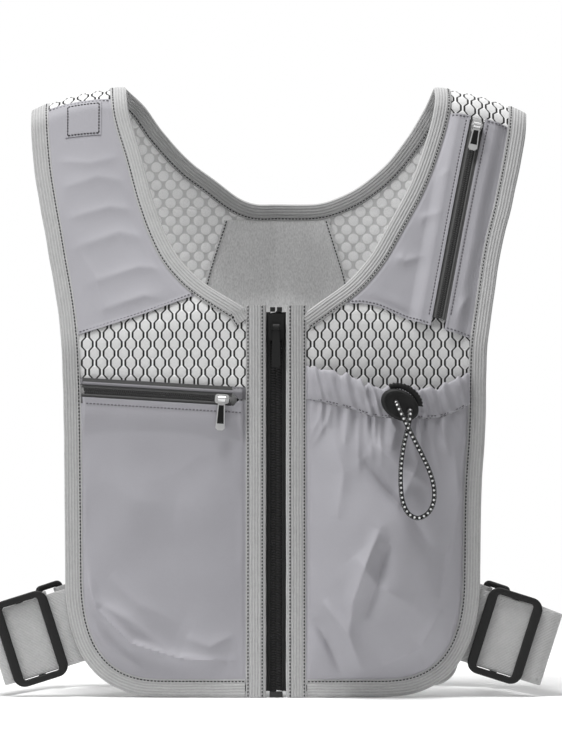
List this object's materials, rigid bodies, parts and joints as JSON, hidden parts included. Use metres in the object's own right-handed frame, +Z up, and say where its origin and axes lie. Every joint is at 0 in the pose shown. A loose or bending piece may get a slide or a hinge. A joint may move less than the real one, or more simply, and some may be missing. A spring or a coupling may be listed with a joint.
{
  "type": "zip-front utility vest",
  "caption": "Sleeveless zip-front mesh and nylon vest with bound edges, a flat zipped pocket, a bellows pocket with a drawcord, a zipped shoulder and an adjustable strap at each side.",
  "frame": {"origin": "under the middle of the vest, on the level of its hems, with the loop of drawcord left out of the box", "axes": "+Z up from the hems to the shoulders, the front faces -Y, +X is the wearer's left"},
  "size_m": [0.3884, 0.1612, 0.411],
  "materials": {
    "nylon": "satin",
    "mesh": "matte",
    "lining": "matte",
    "binding": "matte",
    "webbing": "matte",
    "zip_tape": "matte",
    "zip_teeth": "satin",
    "black_plastic": "matte",
    "silver_metal": "satin",
    "elastic_cord": "matte"
  },
  "bodies": {
    "vest": {"back_centre_panel": "nylon", "right_yoke": "nylon", "right_yoke_patch": "nylon", "left_yoke_inner": "nylon", "left_yoke_outer": "nylon", "right_pocket_facing": "nylon", "right_pocket_panel": "nylon", "left_pocket_panel": "nylon", "pocket_hem": "nylon", "right_front_mesh": "mesh", "right_back_mesh": "mesh", "left_front_mesh": "mesh", "left_back_mesh": "mesh", "back_centre_lining": "lining", "right_front_binding": "binding", "right_centre_binding": "binding", "right_back_binding": "binding", "left_front_binding": "binding", "left_centre_binding": "binding", "left_back_binding": "binding", "neck_binding": "binding", "right_strap": "webbing", "right_ring_tab": "webbing", "left_strap": "webbing", "left_ring_tab": "webbing", "main_zip_right_tape": "zip_tape", "main_zip_left_tape": "zip_tape", "pocket_zip_upper_tape": "zip_tape", "pocket_zip_lower_tape": "zip_tape", "shoulder_zip_inner_tape": "zip_tape", "shoulder_zip_outer_tape": "zip_tape", "main_zip_right_teeth": "zip_teeth", "main_zip_left_teeth": "zip_teeth", "pocket_zip_upper_teeth": "zip_teeth", "pocket_zip_lower_teeth": "zip_teeth", "shoulder_zip_inner_teeth": "zip_teeth", "shoulder_zip_outer_teeth": "zip_teeth", "right_rear_ring": "black_plastic", "left_rear_ring": "black_plastic", "main_zip_right_stop": "silver_metal", "main_zip_left_stop": "silver_metal", "main_zip_box": "silver_metal", "main_zip_pin": "silver_metal", "hem_cord_inner": "elastic_cord", "hem_cord_outer": "elastic_cord", "drawcord_loop": "elastic_cord"},
    "main_zip_slider": {"main_zip_slider": "black_plastic"},
    "main_zip_pull": {"main_zip_pull": "black_plastic"},
    "pocket_zip_slider": {"pocket_zip_slider": "silver_metal"},
    "pocket_zip_pull": {"pocket_zip_pull": "silver_metal"},
    "shoulder_zip_slider": {"shoulder_zip_slider": "silver_metal"},
    "shoulder_zip_pull": {"shoulder_zip_pull": "silver_metal"},
    "cord_lock": {"cord_lock_body": "black_plastic", "cord_lock_spring": "silver_metal"},
    "cord_lock_plunger": {"cord_lock_plunger": "black_plastic"},
    "right_strap_buckle": {"right_strap_buckle": "black_plastic"},
    "left_strap_buckle": {"left_strap_buckle": "black_plastic"}
  },
  "joints": [
    {"name": "main_zip_slide", "type": "slide", "parent": "vest", "child": "main_zip_slider", "axis": [0, 0, -1], "range_m": [0, 0.215]},
    {"name": "main_zip_pull_hinge", "type": "hinge", "parent": "main_zip_slider", "child": "main_zip_pull", "pos_m": [0.00225, -0.05049, 0.247], "axis": [-1, 0, 0], "range_deg": [0, 170]},
    {"name": "pocket_zip_slide", "type": "slide", "parent": "vest", "child": "pocket_zip_slider", "axis": [-0.9972, 0.0449, 0.0596], "range_m": [0, 0.085]},
    {"name": "pocket_zip_pull_hinge", "type": "hinge", "parent": "pocket_zip_slider", "child": "pocket_zip_pull", "pos_m": [-0.03386, -0.05495, 0.19908], "axis": [-0.9972, 0.0449, 0.0596], "range_deg": [0, 170]},
    {"name": "shoulder_zip_slide", "type": "slide", "parent": "vest", "child": "shoulder_zip_slider", "axis": [-0.1915, -0.2441, -0.9507], "range_m": [0, 0.125]},
    {"name": "shoulder_zip_pull_hinge", "type": "hinge", "parent": "shoulder_zip_slider", "child": "shoulder_zip_pull", "pos_m": [0.13767, -0.01603, 0.38338], "axis": [-0.9763, -0.052, 0.2101], "range_deg": [0, 170]},
    {"name": "cord_lock_slide", "type": "slide", "parent": "vest", "child": "cord_lock", "axis": [0, -1, 0], "range_m": [0, 0.003]},
    {"name": "cord_lock_press", "type": "slide", "parent": "cord_lock", "child": "cord_lock_plunger", "axis": [-0.5299, 0, -0.848], "range_m": [0, 0.003], "stiffness_N_per_m": 300, "springref_m": -0.004, "deforming": ["cord_lock_spring"]},
    {"name": "right_strap_adjust", "type": "slide", "parent": "vest", "child": "right_strap_buckle", "axis": [0.9537, 0, 0.3007], "range_m": [0, 0.007]},
    {"name": "left_strap_adjust", "type": "slide", "parent": "vest", "child": "left_strap_buckle", "axis": [0.9537, 0, -0.3007], "range_m": [0, 0.006]}
  ]
}
